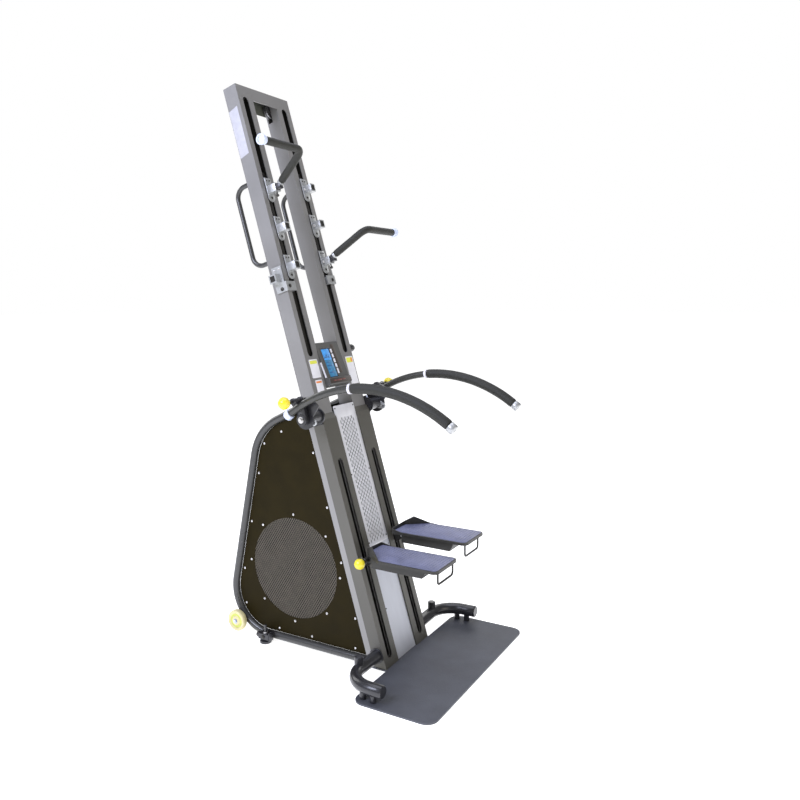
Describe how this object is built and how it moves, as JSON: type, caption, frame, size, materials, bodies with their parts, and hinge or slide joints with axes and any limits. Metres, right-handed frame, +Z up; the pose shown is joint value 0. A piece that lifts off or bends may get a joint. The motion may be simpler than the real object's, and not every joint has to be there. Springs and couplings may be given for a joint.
{
  "type": "vertical climbing machine",
  "caption": "Leaning vertical climbing trainer with coupled stepping carriages, plug-in upper grips, swing-down handlebars, a small display and an enclosed fan brake behind the mast.",
  "frame": {"origin": "on the floor, at the middle of the mast's front foot, where the platform's top meets it", "axes": "+X to the right of a person facing the machine from the platform side, +Y from the platform back to the fan housing, +Z up"},
  "size_m": [0.866, 1.1271, 2.298],
  "materials": {
    "frame_grey": "satin powder coat",
    "silver_plate": "bright satin",
    "panel_black": "fine texture powder coat",
    "mesh_dark": "satin",
    "tube_grey": "gloss",
    "black_paint": "satin",
    "platform_mat": "fine pebbled",
    "tread_black": "knurled texture",
    "foam_black": "matt foam",
    "yellow_plastic": "gloss",
    "bracket_silver": "satin",
    "handle_chrome": "polished",
    "console_black": "matt",
    "screen_blue": "gloss",
    "button_white": "matt",
    "wheel_cream": "satin",
    "chain_steel": "oiled",
    "idler_steel": "turned",
    "fan_metal": "satin",
    "knob_black": "matt"
  },
  "bodies": {
    "frame": {"left_stile": "frame_grey", "right_stile": "frame_grey", "top_cross_member": "frame_grey", "lower_cross_member": "frame_grey", "left_mast_cover": "frame_grey", "right_mast_cover": "frame_grey", "perforated_plate": "silver_plate", "kick_plate": "silver_plate", "console_housing": "console_black", "console_screen": "screen_blue", "left_side_panel": "panel_black", "right_side_panel": "panel_black", "left_fan_grille": "mesh_dark", "right_fan_grille": "mesh_dark", "left_side_tube": "tube_grey", "right_side_tube": "tube_grey", "rear_cover": "panel_black", "left_base_arm": "black_paint", "right_base_arm": "black_paint", "platform_plate": "platform_mat", "left_rear_handle": "tube_grey", "right_rear_handle": "tube_grey", "left_bar_bracket": "black_paint", "right_bar_bracket": "black_paint", "left_foot_clamp": "black_paint", "right_foot_clamp": "black_paint", "climb_chain": "chain_steel", "fan_axle": "black_paint"},
    "left_climber": {"left_climb_rail": "black_paint", "left_handle_rack": "bracket_silver", "left_side_socket": "bracket_silver"},
    "left_upper_grip_arm": {"left_upper_handle": "handle_chrome", "left_upper_grip": "foam_black"},
    "left_pedal": {"left_pedal": "tread_black"},
    "left_pedal_pin": {"left_pedal_pin": "yellow_plastic"},
    "left_handlebar": {"left_handlebar": "tube_grey", "left_handlebar_grip": "foam_black"},
    "left_bar_pin": {"left_bar_pin": "yellow_plastic"},
    "left_idler": {"left_idler": "idler_steel"},
    "left_wheel": {"left_transport_wheel": "wheel_cream"},
    "left_foot": {"left_leveling_foot": "black_paint"},
    "right_climber": {"right_climb_rail": "black_paint", "right_handle_rack": "bracket_silver", "right_side_socket": "bracket_silver"},
    "right_upper_grip_arm": {"right_upper_handle": "handle_chrome", "right_upper_grip": "foam_black"},
    "right_pedal": {"right_pedal": "tread_black"},
    "right_pedal_pin": {"right_pedal_pin": "yellow_plastic"},
    "right_handlebar": {"right_handlebar": "tube_grey", "right_handlebar_grip": "foam_black"},
    "right_bar_pin": {"right_bar_pin": "yellow_plastic"},
    "right_idler": {"right_idler": "idler_steel"},
    "right_wheel": {"right_transport_wheel": "wheel_cream"},
    "right_foot": {"right_leveling_foot": "black_paint"},
    "fan": {"fan_wheel": "fan_metal"},
    "tension_knob": {"tension_knob": "knob_black"},
    "console_button_1": {"console_button_1": "button_white"},
    "console_button_2": {"console_button_2": "button_white"},
    "console_button_3": {"console_button_3": "button_white"},
    "console_button_4": {"console_button_4": "button_white"}
  },
  "joints": [
    {"name": "left_climb", "type": "slide", "parent": "frame", "child": "left_climber", "axis": [0, 0.284, 0.9588], "range_m": [-0.25, 0.25]},
    {"name": "left_idler_spin", "type": "hinge", "parent": "frame", "child": "left_idler", "pos_m": [-0.0925, 0.72553, 2.2381], "axis": [0, 0.9588, -0.284], "range_deg": [-445, 445]},
    {"name": "left_upper_handle_pull", "type": "slide", "parent": "left_climber", "child": "left_upper_grip_arm", "axis": [0, -0.9588, 0.284], "range_m": [0, 0.06]},
    {"name": "left_pedal_fold", "type": "hinge", "parent": "left_climber", "child": "left_pedal", "pos_m": [-0.127, 0.07588, 0.4226], "axis": [-1, 0, 0], "range_deg": [0, 50]},
    {"name": "left_pedal_pin_pull", "type": "slide", "parent": "left_pedal", "child": "left_pedal_pin", "axis": [-1, 0, 0], "range_m": [0, 0.01], "stiffness_N_per_m": 900, "springref_m": -0.008},
    {"name": "left_handlebar_swing", "type": "hinge", "parent": "frame", "child": "left_handlebar", "pos_m": [-0.3, 0.3, 0.975], "axis": [-1, 0, 0], "range_deg": [-60, 35]},
    {"name": "left_bar_pin_pull", "type": "slide", "parent": "left_handlebar", "child": "left_bar_pin", "axis": [-1, 0, 0], "range_m": [0, 0.012], "stiffness_N_per_m": 900, "springref_m": -0.008},
    {"name": "left_wheel_spin", "type": "hinge", "parent": "frame", "child": "left_wheel", "pos_m": [-0.205, 0.722, 0.0645], "axis": [1, 0, 0], "continuous": true},
    {"name": "left_foot_turn", "type": "hinge", "parent": "frame", "child": "left_foot", "pos_m": [-0.203, 0.571, 0], "axis": [0, 0, 1], "continuous": true},
    {"name": "right_climb", "type": "slide", "parent": "frame", "child": "right_climber", "axis": [0, 0.284, 0.9588], "range_m": [-0.25, 0.25]},
    {"name": "right_idler_spin", "type": "hinge", "parent": "frame", "child": "right_idler", "pos_m": [0.0925, 0.72553, 2.2381], "axis": [0, 0.9588, -0.284], "range_deg": [-445, 445]},
    {"name": "right_upper_handle_pull", "type": "slide", "parent": "right_climber", "child": "right_upper_grip_arm", "axis": [0, -0.9588, 0.284], "range_m": [0, 0.06]},
    {"name": "right_pedal_fold", "type": "hinge", "parent": "right_climber", "child": "right_pedal", "pos_m": [0.127, 0.08412, 0.4504], "axis": [-1, 0, 0], "range_deg": [0, 50]},
    {"name": "right_pedal_pin_pull", "type": "slide", "parent": "right_pedal", "child": "right_pedal_pin", "axis": [1, 0, 0], "range_m": [0, 0.01], "stiffness_N_per_m": 900, "springref_m": -0.008},
    {"name": "right_handlebar_swing", "type": "hinge", "parent": "frame", "child": "right_handlebar", "pos_m": [0.3, 0.3, 0.975], "axis": [-1, 0, 0], "range_deg": [-60, 35]},
    {"name": "right_bar_pin_pull", "type": "slide", "parent": "right_handlebar", "child": "right_bar_pin", "axis": [1, 0, 0], "range_m": [0, 0.012], "stiffness_N_per_m": 900, "springref_m": -0.008},
    {"name": "right_wheel_spin", "type": "hinge", "parent": "frame", "child": "right_wheel", "pos_m": [0.205, 0.722, 0.0645], "axis": [1, 0, 0], "continuous": true},
    {"name": "right_foot_turn", "type": "hinge", "parent": "frame", "child": "right_foot", "pos_m": [0.203, 0.571, 0], "axis": [0, 0, 1], "continuous": true},
    {"name": "fan_spin", "type": "hinge", "parent": "frame", "child": "fan", "pos_m": [0, 0.445, 0.329], "axis": [1, 0, 0], "continuous": true},
    {"name": "tension_knob_turn", "type": "hinge", "parent": "frame", "child": "tension_knob", "pos_m": [0.171, 0.39681, 1.21639], "axis": [1, 0, 0], "range_deg": [-135, 135]},
    {"name": "console_button_1_press", "type": "slide", "parent": "frame", "child": "console_button_1", "axis": [0, 0.9171, -0.3987], "range_m": [0, 0.0015], "stiffness_N_per_m": 400, "springref_m": -0.0005},
    {"name": "console_button_2_press", "type": "slide", "parent": "frame", "child": "console_button_2", "axis": [0, 0.9171, -0.3987], "range_m": [0, 0.0015], "stiffness_N_per_m": 400, "springref_m": -0.0005},
    {"name": "console_button_3_press", "type": "slide", "parent": "frame", "child": "console_button_3", "axis": [0, 0.9171, -0.3987], "range_m": [0, 0.0015], "stiffness_N_per_m": 400, "springref_m": -0.0005},
    {"name": "console_button_4_press", "type": "slide", "parent": "frame", "child": "console_button_4", "axis": [0, 0.9171, -0.3987], "range_m": [0, 0.0015], "stiffness_N_per_m": 400, "springref_m": -0.0005}
  ],
  "couplings": [
    {"joint": "right_climb", "follows": "left_climb", "ratio": -1},
    {"joint": "left_idler_spin", "follows": "left_climb", "rad_per_m": 30.769},
    {"joint": "right_idler_spin", "follows": "left_climb", "rad_per_m": 30.769}
  ]
}
